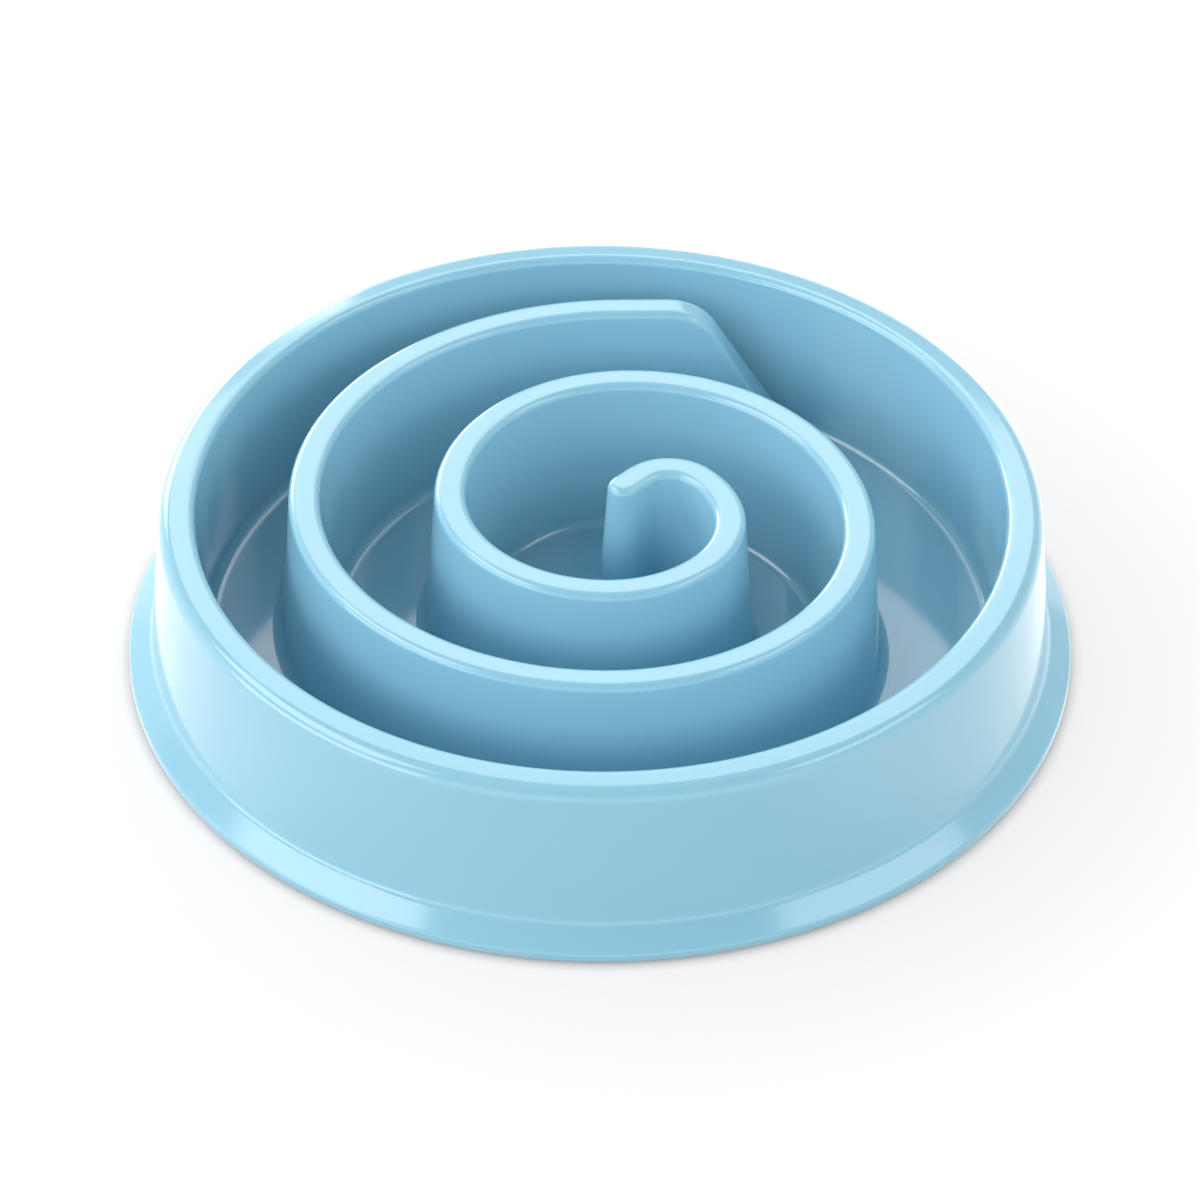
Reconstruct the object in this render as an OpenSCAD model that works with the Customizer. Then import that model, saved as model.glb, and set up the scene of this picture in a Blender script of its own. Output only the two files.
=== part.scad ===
// Slow feeder bowl for a dog or a cat: a low round bowl with a flared foot and a
// spiral wall that rises from its floor to the height of the rim. The bowl is one
// moulding, hollow under the rim and under the spiral, and stands on four rubber pads.
// The origin is on the table, under the middle of the bowl.

/* [Bowl] */
// Diameter of the flared foot
base_d = 240; // [200:1:300]
// Height from the table to the rim
bowl_h = 46.8; // [40:0.2:70]
// Diameter of the rim, over its outer edge
rim_d = 221; // [180:0.2:226]
// Width of the rim, from the outer edge to the basin
rim_w = 8.8; // [8:0.1:14]
// How far the rim's outer edge lies below its inner edge
rim_fall = 1.2; // [0:0.1:2]
// Thickness of the moulded walls
wall_t = 2.5; // [1.8:0.1:3]
// Lean of the skirt from upright, in degrees
skirt_lean = 5.2; // [2:0.1:8]
// Lean of the basin wall from upright, in degrees
basin_lean = 2; // [1:0.1:5]

/* [Foot of the skirt] */
// Height of the lip at the edge of the foot
lip_h = 2.2; // [1.8:0.1:4]
// Width of the ring that the lip stands on
lip_w = 3; // [2:0.1:4]
// Gap between the lip and the table
lip_gap = 0.6; // [0.4:0.1:1.5]
// Slope of the foot's top face, in degrees
flare_slope = 39; // [20:1:45]
// Radius of the hollow curve between the skirt and the foot
flare_r = 3; // [1:0.1:4]

/* [Floor] */
// Height of the floor's top face over the table
floor_z = 4.3; // [4:0.1:6]
// Radius where the floor meets the basin wall and the spiral
floor_r = 3; // [1.5:0.1:4]

/* [Rounded edges] */
// Radius of the rim's outer edge
rim_outer_r = 4; // [1:0.1:4.2]
// Radius of the rim's inner edge
rim_inner_r = 2.2; // [1:0.1:3.4]
// Radius of the small edges of the lip
lip_r = 1.2; // [0.3:0.1:1.4]
// Radius of the two top edges of the spiral wall
crown_r = 2.2; // [1:0.1:3]

/* [Spiral] */
// Size of the spiral, the length that the radii of its arcs grow with
spiral_size = 100; // [98:0.5:101]
// Room between the centre of a bend and the wall's foot, in a bend of the least radius
bend_gap = 0.5; // [0.2:0.1:1]
// Width of the spiral wall at its top
spiral_w = 7.9; // [7:0.1:12]
// Draft of the spiral wall's faces, in degrees
spiral_draft = 3.8; // [1:0.1:5]
// Length of the straight piece behind the rounded inner end
nose_run = 5.8; // [3:0.1:15]
// Slope of the ramp at the outer end, in degrees
ramp_slope = 60; // [40:1:75]
// Radius over the top of the ramp
ramp_crest_r = 14.5; // [6:0.5:20]
// Radius at the toe of the ramp
ramp_toe_r = 5; // [3:0.5:10]
// Length of the straight piece before the ramp starts to fall
ramp_run = 12.5; // [1:0.5:20]

/* [Rubber pads] */
// Diameter of a pad
pad_d = 12; // [8:0.5:14]
// Thickness of a pad
pad_t = 2.1; // [2:0.1:2.5]
// Radius of the pad's lower edge
pad_edge_r = 0.6; // [0.3:0.1:0.8]
// Gap around a pad in its seat
pad_gap = 0.1; // [0.05:0.05:0.3]
// Diameter of the circle that the pads stand on
pad_circle_d = 182; // [176:1:186]
// Thickness of the ring around a pad's seat
seat_wall = 1.6; // [1:0.1:2.5]
// Height of the ring under the floor
seat_ring_h = 1; // [0.6:0.1:1.1]

/* [Underside] */
// Diameter of the moulding's gate mark
gate_d = 5; // [3:0.5:8]
// Depth of the dimple around the gate
gate_dimple = 0.5; // [0.3:0.1:0.8]

/* [Hidden] */
$fn = 144;

// Steps in each rounded corner of the bowl's profile, of the spiral wall and of its hollow
arc_steps = 7;
wall_steps = 4;
hollow_steps = 2;
// Steps around the spiral's last arc
end_steps = 8;
// How far a cut runs past a face
overrun = 1;
// The least radius of a bend is rounded up to a whole number of these
bend_step = 0.1;
// How far the wall's foot curve ends under the floor's face
sink = 0.08;
// The least height of the wall's section, at the toe of its ramp
least_wall_h = 0.4;
// Share of a wall's height that one of its fillets may take
fillet_share = 0.45;

base_r = base_d / 2;
rim_r = rim_d / 2;
basin_r = rim_r - rim_w;
lip_top = lip_gap + lip_h;
under_z = floor_z - wall_t;
rim_edge_z = bowl_h - rim_fall;
bed_z = floor_z - wall_t / 2;
sunk_z = floor_z - sink;
pad_angles = [for (i = [0:3]) 45 - 90 + 90 * i];

// The spiral is a chain of arcs, each an eighth of a turn, from the inner end outwards.
// The radius of each is the least one that the wall's foot allows and a share of the
// spiral's size. Two arcs make a quarter of a turn, and one arc more leads to the ramp
// at the outer end.
eighth = 45;
arc_shares = [
    0.00199, 0.012207, 0.14684, 0.153967, 0.22648, 0.299734, 0.28456, 0.362964,
    0.35287, 0.446724, 0.51191, 0.475283, 0.55586, 0.673072, 0.61091, 0.643583,
    0.7293
];
// Where the spiral's inner end stands, as shares of its size, and where it points
start_shares = [0.0561, 0.06375];
start_heading = 46;
quarters = floor(len(arc_shares) / 2);
foot_reach = wall_side(bowl_h)[0][0];
least_r = ceil(foot_reach / bend_step) * bend_step + bend_gap;
function arc_r(k) = least_r + arc_shares[k] * spiral_size;

// Points of a rounded corner between two straight lines
function unit(v) = v / norm(v);
function heading(v) = atan2(v[1], v[0]);
function swing(angle) = angle - 360 * round(angle / 360);
function corner(before, at, after, r, steps) =
    let (
        a = unit(before - at),
        b = unit(after - at),
        half = acos(a * b) / 2,
        centre = at + unit(a + b) * r / sin(half),
        from = heading(at + a * r / tan(half) - centre),
        turn = swing(heading(at + b * r / tan(half) - centre) - from)
    )
    [
        for (i = [0:steps])
            let (angle = from + turn * i / steps)
            centre + r * [cos(angle), sin(angle)]
    ];

// A closed or open line of corners, each given as [point, radius]
function rounded(line) = [
    for (i = [0:len(line) - 1])
        each line[i][1] == 0 ? [line[i][0]] : corner(line[i - 1][0], line[i][0], line[i + 1][0], line[i][1], arc_steps)
];

// Radius of the skirt's outer face and of the basin's wall at a height
function skirt_x(z) = rim_r + (rim_edge_z - z) * tan(skirt_lean);
function basin_x(z) = basin_r - (bowl_h - z) * tan(basin_lean);

// Where the skirt's straight face would meet the sloping top of the foot
flare_z = (lip_top + (base_r - skirt_x(0)) * tan(flare_slope)) / (1 - tan(skirt_lean) * tan(flare_slope));

module shell_outline() {
    outside = rounded([
        [[0, floor_z], 0],
        [[basin_x(floor_z), floor_z], floor_r],
        [[basin_x(bowl_h), bowl_h], rim_inner_r],
        [[rim_r, rim_edge_z], rim_outer_r],
        [[skirt_x(flare_z), flare_z], flare_r],
        [[base_r, lip_top], lip_r],
        [[base_r, lip_gap], lip_r / 2],
        [[base_r - lip_w, lip_gap], 0]
    ]);
    // The same walls seen from below, one wall thickness further in
    hollow_top = bowl_h - wall_t;
    hollow_edge = rim_edge_z - wall_t;
    inner_skirt = wall_t / cos(skirt_lean);
    outer_basin = wall_t / cos(basin_lean);
    inner_flare_z = flare_z - wall_t / 2;
    inside = rounded([
        [[base_r - lip_w, lip_gap], 0],
        [[skirt_x(inner_flare_z) - inner_skirt, inner_flare_z], flare_r],
        [[skirt_x(hollow_edge) - inner_skirt, hollow_edge], rim_outer_r / 4],
        [[basin_x(hollow_top) + outer_basin, hollow_top], rim_inner_r / 4],
        [[basin_x(under_z) + outer_basin, under_z], floor_r],
        [[0, under_z], 0]
    ]);
    polygon(concat(outside, inside));
}

// One side of the spiral wall's section, from its foot up to the middle of its top
function wall_x(z) = spiral_w / 2 + (bowl_h - crown_r - z) * tan(spiral_draft);
function wall_side(top) =
    let (
        foot_z = min(sunk_z, top - least_wall_h),
        height = top - foot_z,
        foot_r = min(floor_r, height * fillet_share),
        top_r = min(crown_r, height * fillet_share),
        foot = [wall_x(foot_z), foot_z],
        edge = [wall_x(top), top],
        foot_curve = corner(foot + [floor_r, 0], foot, edge, foot_r, wall_steps)
    )
    concat([[foot_curve[0][0], bed_z]], foot_curve, corner(foot, edge, [0, top], top_r, wall_steps));

// One side of the hollow under the spiral wall
function hollow_side(top) =
    let (
        foot = [wall_x(under_z - 2 * overrun) - wall_t, under_z - 2 * overrun],
        edge = [wall_x(top) - wall_t, top],
        top_r = min(crown_r / 4, (top - foot[1]) * fillet_share)
    )
    concat([foot], corner(foot, edge, [0, top], top_r, hollow_steps));

function mirrored(side) = [for (i = [len(side) - 1:-1:0]) [-side[i][0], side[i][1]]];
function section(side) = concat(side, mirrored(side));
function half_section(side) = concat(side, [[0, side[len(side) - 1][1]], [0, side[0][1]]]);

// The line of the ramp's top, as [distance along, height], for a wall whose top is lower
// by a given inset, down to a given height
function ramp_line(inset, low) =
    let (
        top = bowl_h - inset,
        crest = ramp_run + ramp_crest_r * tan(ramp_slope / 2) - inset * tan(ramp_slope / 2),
        toe = crest + (top - low) / tan(ramp_slope),
        toe_r = min(ramp_toe_r, (top - low) * fillet_share)
    )
    concat(
        [[0, top]],
        corner([0, top], [crest, top], [toe, low], ramp_crest_r - inset, wall_steps),
        corner([crest, top], [toe, low], [toe + crest, low], toe_r, wall_steps)
    );

// The stations of the spiral's outer end, as [x, y, heading, height]: first around its last
// arc at full height, then straight on and down the ramp
function end_stations(line) =
    let (
        r = arc_r(2 * quarters),
        from = [r * sin(eighth), r * cos(eighth) - r]
    )
    concat(
        [
            for (i = [0:end_steps - 1])
                let (turn = eighth * i / end_steps)
                [r * sin(turn), r * cos(turn) - r, -turn, line[0][1]]
        ],
        [for (p = line) [from[0] + p[0] * cos(eighth), from[1] - p[0] * sin(eighth), -eighth, p[1]]]
    );
outside_stations = end_stations(ramp_line(0, sunk_z + sink / 4));
inside_stations = end_stations(ramp_line(wall_t, under_z - overrun));

// A solid through sections that stand upright, each square to its station's heading
module loft(stations, sections) {
    count = len(sections[0]);
    last = len(sections) - 1;
    // Each end is a strip of four-sided faces between the section's two sides
    end_faces = [for (i = [0:count / 2 - 2]) [i, i + 1, count - 2 - i, count - 1 - i]];
    polyhedron(
        points = [
            for (k = [0:last])
                let (s = stations[k])
                each [for (p = sections[k]) [s[0] - p[0] * sin(s[2]), s[1] + p[0] * cos(s[2]), p[1]]]
        ],
        faces = concat(
            end_faces,
            [for (f = end_faces) [for (i = [3:-1:0]) last * count + f[i]]],
            [
                for (k = [0:last - 1], i = [0:count - 1])
                    let (a = k * count + i, b = k * count + (i + 1) % count)
                    [b, a, a + count, b + count]
            ]
        )
    );
}

// Moves its children to the centre of the first or the second arc of a quarter turn
module at_first_arc(quarter) {
    translate([0, -arc_r(2 * quarter), 0])
        children();
}

module at_second_arc(quarter) {
    shift = (arc_r(2 * quarter) - arc_r(2 * quarter + 1)) * cos(eighth);
    at_first_arc(quarter)
        translate([shift, shift, 0])
            children();
}

// Moves its children to where a quarter turn starts, facing along the wall
module at_quarter(quarter) {
    if (quarter == 0)
        children();
    else
        at_quarter(quarter - 1)
            at_second_arc(quarter - 1)
                translate([arc_r(2 * quarter - 1), 0, 0])
                    rotate([0, 0, -2 * eighth])
                        children();
}

// An eighth of a turn of the wall about its centre
module wall_arc(r, start, side) {
    rotate_extrude(angle = eighth, start = start)
        translate([r, 0])
            polygon(section(side));
}

// The wall's round inner end, its arcs and its ramp, for a given half section
module spiral_run(side, stations, sections) {
    translate([start_shares[0] * spiral_size, start_shares[1] * spiral_size, 0])
        rotate([0, 0, start_heading]) {
            rotate_extrude(angle = 180, start = 90)
                polygon(half_section(side));
            rotate([90, 0, 90])
                linear_extrude(nose_run)
                    polygon(section(side));
            translate([nose_run, 0, 0]) {
                for (quarter = [0:quarters - 1])
                    at_quarter(quarter) {
                        at_first_arc(quarter)
                            wall_arc(arc_r(2 * quarter), eighth, side);
                        at_second_arc(quarter)
                            wall_arc(arc_r(2 * quarter + 1), 0, side);
                    }
                at_quarter(quarters)
                    loft(stations, sections);
            }
        }
}

// The wall ends inside the basin's wall where its ramp runs into it
module spiral_wall() {
    intersection() {
        spiral_run(
            wall_side(bowl_h),
            outside_stations,
            [for (s = outside_stations) section(wall_side(s[3]))]
        );
        cylinder(r = basin_x(floor_z) + wall_t / 2, h = bowl_h + overrun);
    }
}

// The hollow under it ends at the basin's wall, which keeps its thickness there
module spiral_hollow() {
    intersection() {
        spiral_run(
            hollow_side(bowl_h - wall_t),
            inside_stations,
            [for (s = inside_stations) section(hollow_side(s[3]))]
        );
        translate([0, 0, -overrun])
            cylinder(r = basin_x(floor_z), h = bowl_h + overrun);
    }
}

// Puts its children at each pad's place, or at one of them
module at_pad(i) {
    rotate([0, 0, pad_angles[i]])
        translate([pad_circle_d / 2, 0, 0])
            children();
}

module bowl() {
    color("lightblue")
        difference() {
            union() {
                rotate_extrude()
                    shell_outline();
                spiral_wall();
                for (i = [0:3])
                    at_pad(i)
                        translate([0, 0, under_z - seat_ring_h])
                            cylinder(d = pad_d + 2 * (pad_gap + seat_wall), h = seat_ring_h + wall_t / 2);
            }
            spiral_hollow();
            for (i = [0:3])
                at_pad(i)
                    translate([0, 0, -overrun])
                        cylinder(d = pad_d + 2 * pad_gap, h = pad_t + overrun);
            translate([0, 0, under_z - overrun])
                cylinder(d = gate_d, h = gate_dimple + overrun);
        }
}

module foot(i) {
    color("dimgray")
        at_pad(i)
            rotate_extrude()
                polygon(rounded([
                    [[0, 0], 0],
                    [[pad_d / 2, 0], pad_edge_r],
                    [[pad_d / 2, pad_t], 0],
                    [[0, pad_t], 0]
                ]));
}

bowl();
foot(0);  // foot_front_right
foot(1);  // foot_back_right
foot(2);  // foot_back_left
foot(3);  // foot_front_left
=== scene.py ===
import math

import bmesh
import bpy
from mathutils import Matrix, Vector


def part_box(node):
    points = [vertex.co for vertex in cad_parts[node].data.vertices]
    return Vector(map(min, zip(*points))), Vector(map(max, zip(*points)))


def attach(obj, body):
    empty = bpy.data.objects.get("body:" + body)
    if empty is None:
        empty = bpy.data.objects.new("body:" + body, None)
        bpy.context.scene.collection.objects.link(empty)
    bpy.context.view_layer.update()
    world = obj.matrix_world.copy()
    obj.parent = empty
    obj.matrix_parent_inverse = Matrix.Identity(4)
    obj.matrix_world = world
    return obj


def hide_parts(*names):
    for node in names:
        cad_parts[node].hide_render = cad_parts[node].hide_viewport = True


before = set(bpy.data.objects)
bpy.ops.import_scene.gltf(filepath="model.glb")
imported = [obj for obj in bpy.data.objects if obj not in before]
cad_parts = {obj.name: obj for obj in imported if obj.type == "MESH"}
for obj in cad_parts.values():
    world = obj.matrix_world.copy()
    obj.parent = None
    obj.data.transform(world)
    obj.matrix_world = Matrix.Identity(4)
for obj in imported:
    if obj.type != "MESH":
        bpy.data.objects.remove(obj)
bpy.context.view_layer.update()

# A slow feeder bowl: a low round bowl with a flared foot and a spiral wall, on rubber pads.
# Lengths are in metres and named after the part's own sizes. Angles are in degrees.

MM = 0.001

# The bowl, from the frame
BOWL_LOW, BOWL_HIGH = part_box("bowl")
BASE_R = (BOWL_HIGH.x - BOWL_LOW.x) / 2
BOWL_H = BOWL_HIGH.z
LIP_GAP = BOWL_LOW.z

# The rim, the skirt and the basin
RIM_R = 110.5 * MM
RIM_W = 8.8 * MM
RIM_FALL = 1.2 * MM
WALL_T = 2.5 * MM
SKIRT_LEAN = 5.2
BASIN_LEAN = 2
LIP_H = 2.2 * MM
LIP_W = 3 * MM
FLARE_SLOPE = 39
FLARE_R = 3 * MM
FLOOR_Z = 4.3 * MM
FLOOR_R = 3 * MM
RIM_OUTER_R = 4 * MM
RIM_INNER_R = 2.2 * MM
LIP_R = 1.2 * MM
CROWN_R = 2.2 * MM
BASIN_R = RIM_R - RIM_W
LIP_TOP = LIP_GAP + LIP_H
UNDER_Z = FLOOR_Z - WALL_T
RIM_EDGE_Z = BOWL_H - RIM_FALL

# The spiral wall
SPIRAL_SIZE = 100 * MM
SPIRAL_W = 7.9 * MM
SPIRAL_DRAFT = 3.8
NOSE_RUN = 5.8 * MM
RAMP_SLOPE = 60
RAMP_CREST_R = 14.5 * MM
RAMP_TOE_R = 5 * MM
RAMP_RUN = 12.5 * MM
EIGHTH = math.radians(45)
LEAST_R = 10 * MM
ARC_SHARES = [
    0.00199, 0.012207, 0.14684, 0.153967, 0.22648, 0.299734, 0.28456, 0.362964,
    0.35287, 0.446724, 0.51191, 0.475283, 0.55586, 0.673072, 0.61091, 0.643583,
    0.7293,
]
START_SHARES = (0.0561, 0.06375)
START_HEADING = math.radians(46)

# The rubber pads and the underside
PAD_R = 6 * MM
PAD_T = 2.1 * MM
PAD_EDGE_R = 0.6 * MM
PAD_GAP = 0.1 * MM
PAD_CIRCLE_R = 91 * MM
SEAT_WALL = 1.6 * MM
SEAT_RING_H = 1 * MM
GATE_R = 2.5 * MM
GATE_DIMPLE = 0.5 * MM
PADS = {"foot_front_right": -45, "foot_back_right": 45, "foot_back_left": 135, "foot_front_left": 225}

# How fine the meshes are
TURN_STEPS = 360
CORNER_STEPS = 14
STATION_STEP = 1.1 * MM
NOSE_STEPS = 48
PAD_STEPS = 96
SHARP_ANGLE = math.radians(32)
OVERRUN = 1 * MM
SINK = 0.01 * MM
FILLET_SHARE = 0.45

# The camera: as far off as the photo's slight perspective asks
CAMERA_DISTANCE = 1.3788
CAMERA_ELEVATION = 40.15
CAMERA_ROLL = 0.36
PHOTO_SIZE = 1200
PHOTO_FOCUS = 5390
ORIGIN_IN_PHOTO = (600.1, 640.5)
SENSOR = 36
NEAREST = 0.05
FARTHEST = 20

# The room in bands of height, each as (the sine of the height angle where it starts, its mean brightness,
# what the right side adds, what the back adds). A brightness of 1 is white.
ROOM_LIGHT = [
    (-1, 1.5, -0.1, 0.6),
    (0.37, 3.1, -1.1, -0.2),
    (0.61, 0.7, -0.4, 0.4),
    (0.77, 0.5, -0.4, 0.3),
    (0.94, 0.2, 0, 0),
]
ROOM_REFLECTED = [
    (-1, 1.6, -0.4, -0.6),
    (0.34, 0.8, 0, -0.3),
    (0.57, 0.3, 0, 0.3),
]
BAND_BLUR = 0.04

# The lamps, seen from the bowl, as (direction, height angle, width, height, brightness)
LAMP_DISTANCE = 1.3
LAMPS = {
    "left_light": (188, 45, 46, 24, 5.5),
    "right_light": (-18, 43, 34, 18, 3.8),
    "back_light": (85, 48, 60, 34, 3.2),
    "low_left_light": (205, 11, 50, 16, 4),
    "edge_light": (118, 15, 32, 22, 6.5),
}

# The floor: half its side, and how much brighter it shows to the camera than it is lit
FLOOR_HALF = 3
FLOOR_LIFT = 0.47
# That fades out this far each side of the foot's edge, which paints a line of shade at the lip
CONTACT_W = 3.5 * MM
# How much the floor glows in reflections only, a painted glow that the bowl's gloss shows, in the middle and
# at the sides
MIDDLE_SHINE = 0.6
SIDE_SHINE = 1.3
# Where that change starts and is full, in foot radii
SHINE_RUN = (0.5, 1.1)
WHITE = (1, 1, 1, 1)
# Where the middle of a noise's values starts and ends
NOISE_LOW = 0.3
NOISE_HIGH = 0.7


# Outlines

def unit(v):
    return v.normalized()


def corner(before, at, after, r, steps):
    """The points of a rounded corner between two straight lines."""
    a, b = unit(before - at), unit(after - at)
    half = math.acos(max(-1, min(1, a.dot(b)))) / 2
    centre = at + unit(a + b) * (r / math.sin(half))
    start = at + a * (r / math.tan(half)) - centre
    end = at + b * (r / math.tan(half)) - centre
    first = math.atan2(start.y, start.x)
    turn = math.remainder(math.atan2(end.y, end.x) - first, 2 * math.pi)
    return [
        centre + r * Vector((math.cos(first + turn * i / steps), math.sin(first + turn * i / steps)))
        for i in range(steps + 1)
    ]


def rounded(line):
    """A line of corners, each given as (x, z, radius)."""
    points = []
    for i, (x, z, r) in enumerate(line):
        at = Vector((x, z))
        if r == 0:
            points.append(at)
        else:
            before, after = Vector(line[i - 1][:2]), Vector(line[i + 1][:2])
            points += corner(before, at, after, r, CORNER_STEPS)
    return points


def tan(angle):
    return math.tan(math.radians(angle))


def skirt_x(z):
    return RIM_R + (RIM_EDGE_Z - z) * tan(SKIRT_LEAN)


def basin_x(z):
    return BASIN_R - (BOWL_H - z) * tan(BASIN_LEAN)


def shell_outline():
    """The bowl's profile from the middle of its floor over the rim to the middle of its underside."""
    flare_z = (LIP_TOP + (BASE_R - skirt_x(0)) * tan(FLARE_SLOPE)) / (1 - tan(SKIRT_LEAN) * tan(FLARE_SLOPE))
    hollow_top = BOWL_H - WALL_T
    hollow_edge = RIM_EDGE_Z - WALL_T
    inner_skirt = WALL_T / math.cos(math.radians(SKIRT_LEAN))
    outer_basin = WALL_T / math.cos(math.radians(BASIN_LEAN))
    inner_flare_z = flare_z - WALL_T / 2
    return rounded([
        (0, FLOOR_Z, 0),
        (basin_x(FLOOR_Z), FLOOR_Z, FLOOR_R),
        (basin_x(BOWL_H), BOWL_H, RIM_INNER_R),
        (RIM_R, RIM_EDGE_Z, RIM_OUTER_R),
        (skirt_x(flare_z), flare_z, FLARE_R),
        (BASE_R, LIP_TOP, LIP_R),
        (BASE_R, LIP_GAP, LIP_R / 2),
        (BASE_R - LIP_W, LIP_GAP, 0),
        (skirt_x(inner_flare_z) - inner_skirt, inner_flare_z, FLARE_R),
        (skirt_x(hollow_edge) - inner_skirt, hollow_edge, RIM_OUTER_R / 4),
        (basin_x(hollow_top) + outer_basin, hollow_top, RIM_INNER_R / 4),
        (basin_x(UNDER_Z) + outer_basin, UNDER_Z, FLOOR_R),
        (0, UNDER_Z, 0),
    ])


def wall_x(z):
    """Half the spiral wall's width at a height."""
    return SPIRAL_W / 2 + (BOWL_H - CROWN_R - z) * tan(SPIRAL_DRAFT)


def wall_side(top):
    """One side of the spiral wall's section, from under the floor up to the flat of its top."""
    low = FLOOR_Z - SINK
    height = max(top - low, SINK)
    foot, edge = Vector((wall_x(low), low)), Vector((wall_x(low + height), low + height))
    foot_r, top_r = min(FLOOR_R, height * FILLET_SHARE), min(CROWN_R, height * FILLET_SHARE)
    foot_curve = corner(foot + Vector((FLOOR_R, 0)), foot, edge, foot_r, CORNER_STEPS)
    bed = Vector((foot_curve[0].x, FLOOR_Z - WALL_T / 2))
    return [bed] + foot_curve + corner(foot, edge, Vector((0, edge.y)), top_r, CORNER_STEPS)


def hollow_side(top):
    """One side of the hollow under the spiral wall."""
    low = UNDER_Z - 2 * OVERRUN
    foot, edge = Vector((wall_x(low) - WALL_T, low)), Vector((wall_x(top) - WALL_T, top))
    top_r = min(CROWN_R / 4, (top - low) * FILLET_SHARE)
    return [foot] + corner(foot, edge, Vector((0, top)), top_r, CORNER_STEPS)


def ramp_line(inset, low):
    """The line of the ramp's top, as (distance along, height)."""
    top = BOWL_H - inset
    half = math.tan(math.radians(RAMP_SLOPE / 2))
    crest = RAMP_RUN + (RAMP_CREST_R - inset) * half
    toe = crest + (top - low) / tan(RAMP_SLOPE)
    toe_r = min(RAMP_TOE_R, (top - low) * FILLET_SHARE)
    steps = 2 * CORNER_STEPS
    line = corner(Vector((0, top)), Vector((crest, top)), Vector((toe, low)), RAMP_CREST_R - inset, steps)
    line += corner(Vector((crest, top)), Vector((toe, low)), Vector((toe + crest, low)), toe_r, steps)
    return line


def spread(line, step):
    """A line with points added wherever two neighbours are further apart than the step."""
    points = [line[0]]
    for a, b in zip(line, line[1:]):
        count = max(1, math.ceil((b - a).length / step))
        points += [a.lerp(b, i / count) for i in range(1, count + 1)]
    return points


def path_stations():
    """Places and headings along the middle of the spiral wall, up to the ramp."""
    at = Vector((START_SHARES[0] * SPIRAL_SIZE, START_SHARES[1] * SPIRAL_SIZE))
    heading = START_HEADING
    stations = [(at.copy(), heading)]
    count = math.ceil(NOSE_RUN / STATION_STEP)
    for _ in range(count):
        at += Vector((math.cos(heading), math.sin(heading))) * (NOSE_RUN / count)
        stations.append((at.copy(), heading))
    for share in ARC_SHARES:
        r = LEAST_R + share * SPIRAL_SIZE
        count = max(CORNER_STEPS, math.ceil(r * EIGHTH / STATION_STEP))
        turn = EIGHTH / count
        for _ in range(count):
            middle = heading - turn / 2
            at += Vector((math.cos(middle), math.sin(middle))) * (2 * r * math.sin(turn / 2))
            heading -= turn
            stations.append((at.copy(), heading))
    return stations


# Meshes

def revolve(bm, line, steps, centre=(0, 0)):
    """Turns a line round an upright axis. Points on the axis close the form."""
    rings = []
    for p in line:
        if p.x < 1e-9:
            rings.append([bm.verts.new((centre[0], centre[1], p.y))])
        else:
            ring = []
            for i in range(steps):
                a = 2 * math.pi * i / steps
                ring.append(bm.verts.new((centre[0] + p.x * math.cos(a), centre[1] + p.x * math.sin(a), p.y)))
            rings.append(ring)
    for a, b in zip(rings, rings[1:]):
        for i in range(steps):
            j = (i + 1) % steps
            if len(a) == 1:
                bm.faces.new((a[0], b[i], b[j]))
            elif len(b) == 1:
                bm.faces.new((a[i], b[0], a[j]))
            else:
                bm.faces.new((a[i], b[i], b[j], a[j]))


def spiral_solid(bm, side, line):
    """A closed solid along the spiral: a round inner end, the run and the ramp."""
    stations = path_stations()
    top = line[0].y
    end, heading = stations[-1]
    along = Vector((math.cos(heading), math.sin(heading)))
    rows = [(at, h, top) for at, h in stations]
    rows += [(end + along * p.x, heading, p.y) for p in spread(line, 1.5 * STATION_STEP)]
    left, right = [], []
    for at, h, height in rows:
        across = Vector((-math.sin(h), math.cos(h)))
        section = side(height)
        left.append([bm.verts.new((*(at + across * p.x), p.y)) for p in section])
        right.append([bm.verts.new((*(at - across * p.x), p.y)) for p in section])
    nose = [left[0]]
    at, h, height = rows[0]
    for i in range(1, NOSE_STEPS):
        a = h + math.pi / 2 + math.pi * i / NOSE_STEPS
        out = Vector((math.cos(a), math.sin(a)))
        nose.append([bm.verts.new((*(at + out * p.x), p.y)) for p in side(height)])
    nose.append(right[0])
    for rows_of_points in (left, right, nose):
        for a, b in zip(rows_of_points, rows_of_points[1:]):
            for i in range(len(a) - 1):
                bm.faces.new((a[i], a[i + 1], b[i + 1], b[i]))
    for k in range(len(left) - 1):
        bm.faces.new((left[k][-1], left[k + 1][-1], right[k + 1][-1], right[k][-1]))
        bm.faces.new((left[k][0], left[k + 1][0], right[k + 1][0], right[k][0]))
    bm.faces.new([p[-1] for p in nose])
    bm.faces.new([p[0] for p in nose])
    for i in range(len(left[-1]) - 1):
        bm.faces.new((left[-1][i], left[-1][i + 1], right[-1][i + 1], right[-1][i]))


def disc(bm, r, low, high, centre=(0, 0)):
    """A plain round solid."""
    revolve(bm, [Vector((0, low)), Vector((r, low)), Vector((r, high)), Vector((0, high))], PAD_STEPS, centre)


def new_piece(name, make, material):
    """An object from a function that fills a mesh."""
    bm = bmesh.new()
    make(bm)
    bmesh.ops.recalc_face_normals(bm, faces=bm.faces)
    mesh = bpy.data.meshes.new(name)
    bm.to_mesh(mesh)
    bm.free()
    mesh.materials.append(material)
    piece = bpy.data.objects.new(name, mesh)
    bpy.context.scene.collection.objects.link(piece)
    return piece


def smooth(piece):
    """Smooth faces with crisp edges, and normals that the large faces lead."""
    piece.data.shade_smooth()
    piece.data.set_sharp_from_angle(angle=SHARP_ANGLE)
    weighted = piece.modifiers.new("weighted_normals", "WEIGHTED_NORMAL")
    weighted.keep_sharp = True
    weighted.weight = 75


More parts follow.
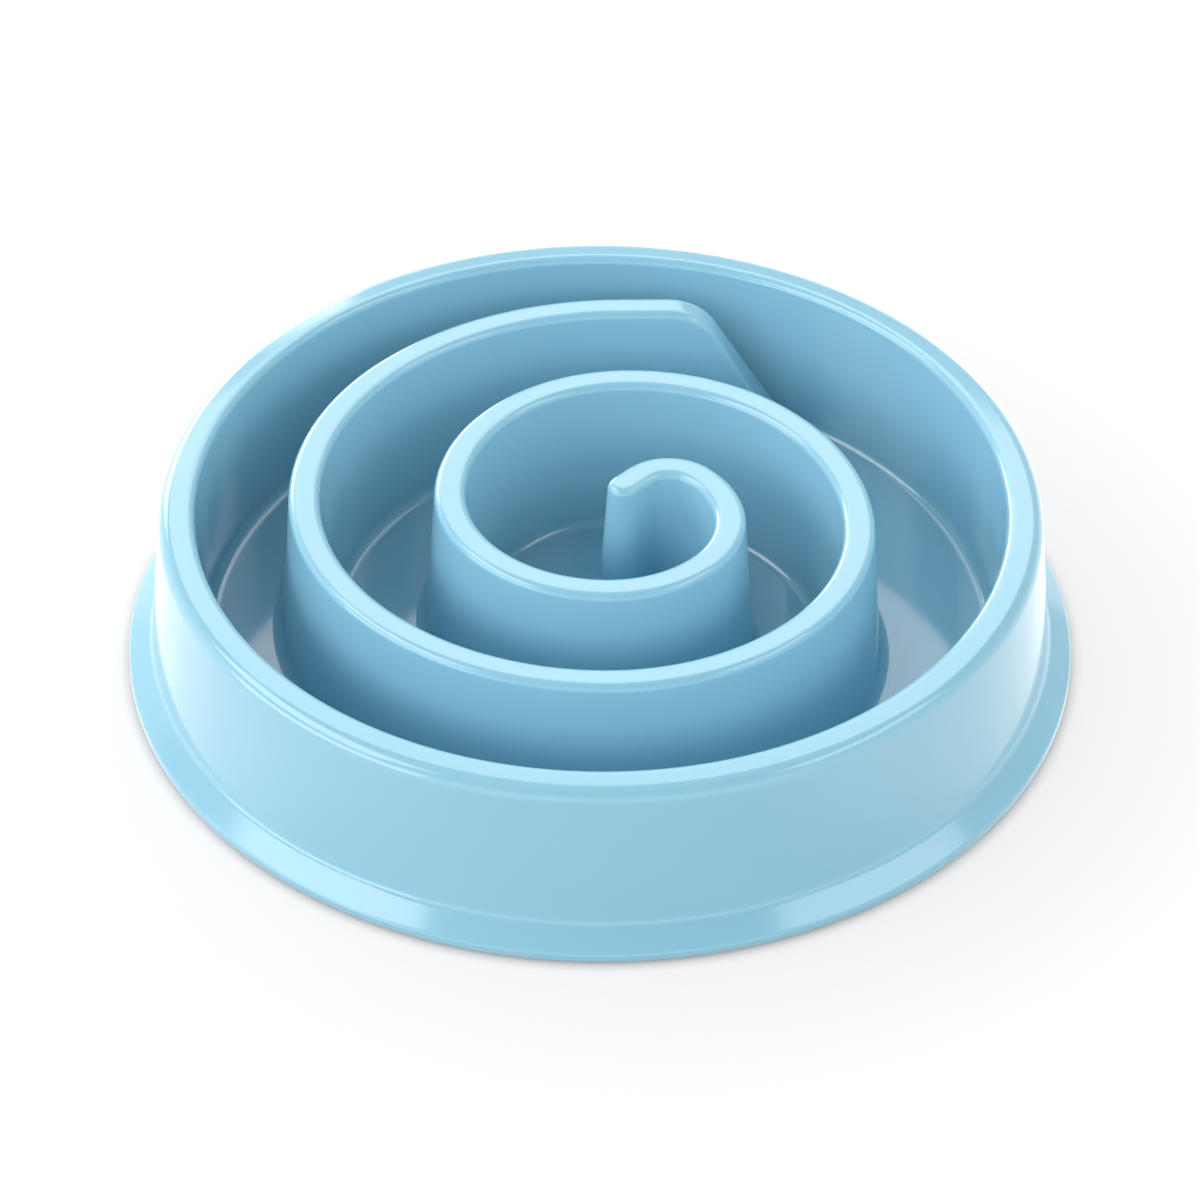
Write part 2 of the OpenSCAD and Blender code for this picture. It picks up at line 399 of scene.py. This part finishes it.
def combine(piece, tools):
    """Applies solids to a piece in turn, each as (operation, solid), and removes them."""
    for operation, tool in tools:
        change = piece.modifiers.new(tool.name, "BOOLEAN")
        change.operation = operation
        change.solver = "MANIFOLD"
        change.object = tool
    bpy.context.view_layer.update()
    graph = bpy.context.evaluated_depsgraph_get()
    done = bpy.data.meshes.new_from_object(piece.evaluated_get(graph), depsgraph=graph)
    piece.modifiers.clear()
    piece.data = done
    for _, tool in tools:
        bpy.data.objects.remove(tool)


def pad_centre(angle):
    return (PAD_CIRCLE_R * math.cos(math.radians(angle)), PAD_CIRCLE_R * math.sin(math.radians(angle)))


def make_bowl(material):
    """The moulding: the shell with the spiral wall and the pads' seats, less its hollows."""
    seat_r = PAD_R + PAD_GAP

    def bosses(bm):
        for angle in PADS.values():
            disc(bm, seat_r + SEAT_WALL, UNDER_Z - SEAT_RING_H, UNDER_Z + WALL_T / 2, pad_centre(angle))

    def recesses(bm):
        for angle in PADS.values():
            disc(bm, seat_r, -OVERRUN, PAD_T, pad_centre(angle))
        disc(bm, GATE_R, UNDER_Z - OVERRUN, UNDER_Z + GATE_DIMPLE)

    def spiral(name, side, line, reach):
        """The spiral wall or its hollow, as far as the basin's wall lets it reach."""
        solid = new_piece(name, lambda bm: spiral_solid(bm, side, line), material)
        limit = new_piece("limit", lambda bm: disc(bm, reach, -OVERRUN, BOWL_H + OVERRUN), material)
        combine(solid, [("INTERSECT", limit)])
        return solid

    bowl = new_piece("bowl_moulding", lambda bm: revolve(bm, shell_outline(), TURN_STEPS), material)
    basin_foot = basin_x(FLOOR_Z)
    combine(bowl, [
        ("UNION", spiral("wall", wall_side, ramp_line(0, FLOOR_Z - SINK / 2), basin_foot + WALL_T / 2)),
        ("UNION", new_piece("bosses", bosses, material)),
        ("DIFFERENCE", spiral("hollow", hollow_side, ramp_line(WALL_T, UNDER_Z - OVERRUN), basin_foot)),
        ("DIFFERENCE", new_piece("recesses", recesses, material)),
    ])
    smooth(bowl)
    return bowl


def make_pad(name, angle, material):
    """A round rubber pad with a soft lower edge and a small chamfer at its top."""
    chamfer = PAD_EDGE_R / 3
    line = rounded([
        (0, 0, 0),
        (PAD_R, 0, PAD_EDGE_R),
        (PAD_R, PAD_T, chamfer),
        (0, PAD_T, 0),
    ])
    pad = new_piece(name, lambda bm: revolve(bm, line, PAD_STEPS, pad_centre(angle)), material)
    smooth(pad)
    return pad


# Materials

class Nodes:
    """A node tree and short ways to add to it."""

    def __init__(self, tree):
        self.tree = tree
        self.tree.nodes.clear()

    def add(self, kind, inputs=None, **settings):
        node = self.tree.nodes.new(kind)
        for key, value in settings.items():
            setattr(node, key, value)
        for key, value in (inputs or {}).items():
            if isinstance(value, bpy.types.NodeSocket):
                self.tree.links.new(value, node.inputs[key])
            else:
                node.inputs[key].default_value = value
        return node

    def noise(self, where, scale, detail=2, roughness=0.5):
        return self.add(
            "ShaderNodeTexNoise",
            {"Vector": where, "Scale": scale, "Detail": detail, "Roughness": roughness},
        ).outputs["Fac"]

    def spread(self, value, low, high):
        """Maps the middle of a noise to a range."""
        return self.add(
            "ShaderNodeMapRange",
            {"Value": value, "From Min": NOISE_LOW, "From Max": NOISE_HIGH, "To Min": low, "To Max": high},
        ).outputs["Result"]

    def mix(self, factor, a, b):
        node = self.add("ShaderNodeMix", data_type="RGBA")
        for socket, value in ((node.inputs[0], factor), (node.inputs[6], a), (node.inputs[7], b)):
            if isinstance(value, bpy.types.NodeSocket):
                self.tree.links.new(value, socket)
            else:
                socket.default_value = value
        return node.outputs[2]

    def math(self, operation, *values):
        return self.add("ShaderNodeMath", dict(enumerate(values)), operation=operation).outputs[0]

    def ease(self, value, start, end, low=0, high=1):
        """A soft change from low to high while the value goes from start to end."""
        limits = {"From Min": start, "From Max": end, "To Min": low, "To Max": high}
        node = self.add("ShaderNodeMapRange", {"Value": value, **limits}, interpolation_type="SMOOTHSTEP")
        return node.outputs["Result"]

    def surface(self, settings):
        """A principled shader on the material's surface."""
        shader = self.add("ShaderNodeBsdfPrincipled", settings)
        self.add("ShaderNodeOutputMaterial", {"Surface": shader.outputs["BSDF"]})


def new_material(name):
    """A material and its nodes."""
    material = bpy.data.materials.new(name)
    material.use_nodes = True
    return material, Nodes(material.node_tree)


def linear(r, g, b):
    """A colour given as it shows on screen, from 0 to 255, as a shader takes it."""
    def one(c):
        c /= 255
        return c / 12.92 if c <= 0.04045 else ((c + 0.055) / 1.055) ** 2.4
    return (one(r), one(g), one(b), 1)


def blue_plastic():
    """Glossy moulded plastic: a faint cloudiness in its colour, fine unevenness in its polish."""
    material, n = new_material("blue_plastic")
    where = n.add("ShaderNodeTexCoord").outputs["Object"]
    cloud = n.noise(where, 18, 3)
    colour = n.mix(n.spread(cloud, 0, 1), (0.265, 0.536, 0.675, 1), (0.256, 0.527, 0.666, 1))
    polish = n.spread(n.noise(where, 60, 4, 0.6), 0.1, 0.13)
    ripple = n.noise(where, 45, 2, 0.4)
    bump = n.add("ShaderNodeBump", {"Height": ripple, "Strength": 0.02, "Distance": 0.0005})
    n.surface({
        "Base Color": colour,
        "Roughness": polish,
        "IOR": 1.5,
        "Normal": bump.outputs["Normal"],
    })
    return material


def pad_rubber():
    """Matt grey rubber with a fine grain and a tone that changes in soft patches."""
    material, n = new_material("pad_rubber")
    where = n.add("ShaderNodeTexCoord").outputs["Object"]
    grain = n.noise(where, 900, 4, 0.6)
    cloud = n.noise(where, 120, 2)
    colour = n.mix(n.spread(cloud, 0, 1), linear(158, 163, 166), linear(148, 153, 157))
    bump = n.add("ShaderNodeBump", {"Height": grain, "Strength": 0.25, "Distance": 0.0002})
    n.surface({
        "Base Color": colour,
        "Roughness": n.spread(grain, 0.62, 0.78),
        "IOR": 1.45,
        "Normal": bump.outputs["Normal"],
    })
    return material


def floor_paper():
    """Smooth white paper, which shows the camera a lighter tone than it throws on the bowl."""
    material, n = new_material("floor_paper")
    where = n.add("ShaderNodeTexCoord").outputs["Object"]
    colour = n.mix(n.spread(n.noise(where, 3, 2), 0, 1), (0.5, 0.48, 0.475, 1), (0.495, 0.476, 0.473, 1))
    path = n.add("ShaderNodeLightPath")
    radius = n.add("ShaderNodeVectorMath", {0: where}, operation="LENGTH").outputs["Value"]
    # The lift fades out round the foot's edge: a painted line of shade at the lip.
    lift = n.ease(radius, BASE_R - CONTACT_W, BASE_R + CONTACT_W, 0, FLOOR_LIFT)
    seen = n.math("MULTIPLY", path.outputs["Is Camera Ray"], lift)
    # A painted glow that only reflections see, brighter towards the sides, which lights the bowl's sheen.
    aside = n.math("ABSOLUTE", n.add("ShaderNodeSeparateXYZ", {0: where}).outputs["X"])
    start, full = (share * BASE_R for share in SHINE_RUN)
    shine = n.ease(aside, start, full, MIDDLE_SHINE, SIDE_SHINE)
    glow = n.math("MULTIPLY_ADD", path.outputs["Is Glossy Ray"], shine, seen)
    n.surface({
        "Base Color": colour,
        "Roughness": 0.7,
        "Specular IOR Level": 0,
        "Emission Color": WHITE,
        "Emission Strength": glow,
    })
    return material


# The studio

def make_floor():
    """A flat sheet that isn't part of the bowl."""
    corners = [(x * FLOOR_HALF, y * FLOOR_HALF, 0) for x, y in ((-1, -1), (1, -1), (1, 1), (-1, 1))]
    floor = new_piece("floor", lambda bm: bm.faces.new([bm.verts.new(at) for at in corners]), floor_paper())


def make_world():
    """A white room: plain white to the camera, in bands of its own as a light and in reflections."""
    world = bpy.data.worlds.new("studio")
    world.use_nodes = True
    n = Nodes(world.node_tree)
    axes = n.add("ShaderNodeSeparateXYZ", {0: n.add("ShaderNodeTexCoord").outputs["Generated"]}).outputs
    around = n.add("ShaderNodeCombineXYZ", {0: axes["X"], 1: axes["Y"], 2: 1}).outputs[0]
    path = n.add("ShaderNodeLightPath")

    def background(strength):
        return n.add("ShaderNodeBackground", {"Color": WHITE, "Strength": strength}).outputs[0]

    def room(bands):
        """Light whose strength changes from band to band."""
        total, before = 0, (0, 0, 0)
        for start, middle, right, back in bands:
            change = (right - before[0], back - before[1], middle - before[2])
            amount = n.add("ShaderNodeVectorMath", {0: around, 1: change}, operation="DOT_PRODUCT")
            inside = n.ease(axes["Z"], start - BAND_BLUR, start + BAND_BLUR)
            total = n.math("MULTIPLY_ADD", amount.outputs["Value"], inside, total)
            before = (right, back, middle)
        return background(total)

    def pick(ray, no, yes):
        return n.add("ShaderNodeMixShader", {0: path.outputs[ray], 1: no, 2: yes}).outputs[0]

    lit = pick("Is Glossy Ray", room(ROOM_LIGHT), room(ROOM_REFLECTED))
    n.add("ShaderNodeOutputWorld", {"Surface": pick("Is Camera Ray", lit, background(1))})
    bpy.context.scene.world = world


def softbox(name, azimuth, elevation, wide, high, radiance):
    """A soft lamp that shines in the bowl's gloss, as wide and high as given in degrees seen from there."""
    lamp = bpy.data.lights.new(name, "AREA")
    lamp.shape = "RECTANGLE"
    lamp.size = 2 * LAMP_DISTANCE * tan(wide / 2)
    lamp.size_y = 2 * LAMP_DISTANCE * tan(high / 2)
    lamp.energy = radiance * math.pi * lamp.size * lamp.size_y
    piece = bpy.data.objects.new(name, lamp)
    turn, rise = math.radians(azimuth), math.radians(elevation)
    away = Vector((math.cos(rise) * math.cos(turn), math.cos(rise) * math.sin(turn), math.sin(rise)))
    piece.location = away * LAMP_DISTANCE
    piece.rotation_euler = (-away).to_track_quat("-Z", "Y").to_euler()
    piece.visible_diffuse = False
    bpy.context.scene.collection.objects.link(piece)


def make_camera():
    """Looks at the bowl as the photo does, with the roll and the place of its middle."""
    data = bpy.data.cameras.new("camera")
    data.sensor_width = SENSOR
    data.lens = PHOTO_FOCUS / PHOTO_SIZE * SENSOR
    data.clip_start = NEAREST
    data.clip_end = FARTHEST
    camera = bpy.data.objects.new("camera", data)
    bpy.context.scene.collection.objects.link(camera)
    e = math.radians(CAMERA_ELEVATION)
    place = Vector((0, -math.cos(e), math.sin(e))) * CAMERA_DISTANCE
    roll = math.radians(CAMERA_ROLL)
    middle = PHOTO_SIZE / 2
    x, y = ORIGIN_IN_PHOTO[0] - middle, ORIGIN_IN_PHOTO[1] - middle
    across = x * math.cos(roll) + y * math.sin(roll)
    down = y * math.cos(roll) - x * math.sin(roll)
    turned = (
        Matrix.Rotation(math.atan2(across, PHOTO_FOCUS), 4, "Z")
        @ Matrix.Rotation(math.radians(90 - CAMERA_ELEVATION) + math.atan2(down, PHOTO_FOCUS), 4, "X")
        @ Matrix.Rotation(roll, 4, "Z")
    )
    camera.matrix_world = Matrix.Translation(place) @ turned
    bpy.context.scene.camera = camera


plastic, rubber = blue_plastic(), pad_rubber()

bowl = make_bowl(plastic)
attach(bowl, "root")
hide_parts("bowl")

for node, angle in PADS.items():
    pad = make_pad("pad_" + node.removeprefix("foot_"), angle, rubber)
    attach(pad, "root")
    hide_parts(node)

make_floor()
make_world()
for name, values in LAMPS.items():
    softbox(name, *values)
make_camera()
bpy.context.scene.view_settings.view_transform = "Standard"
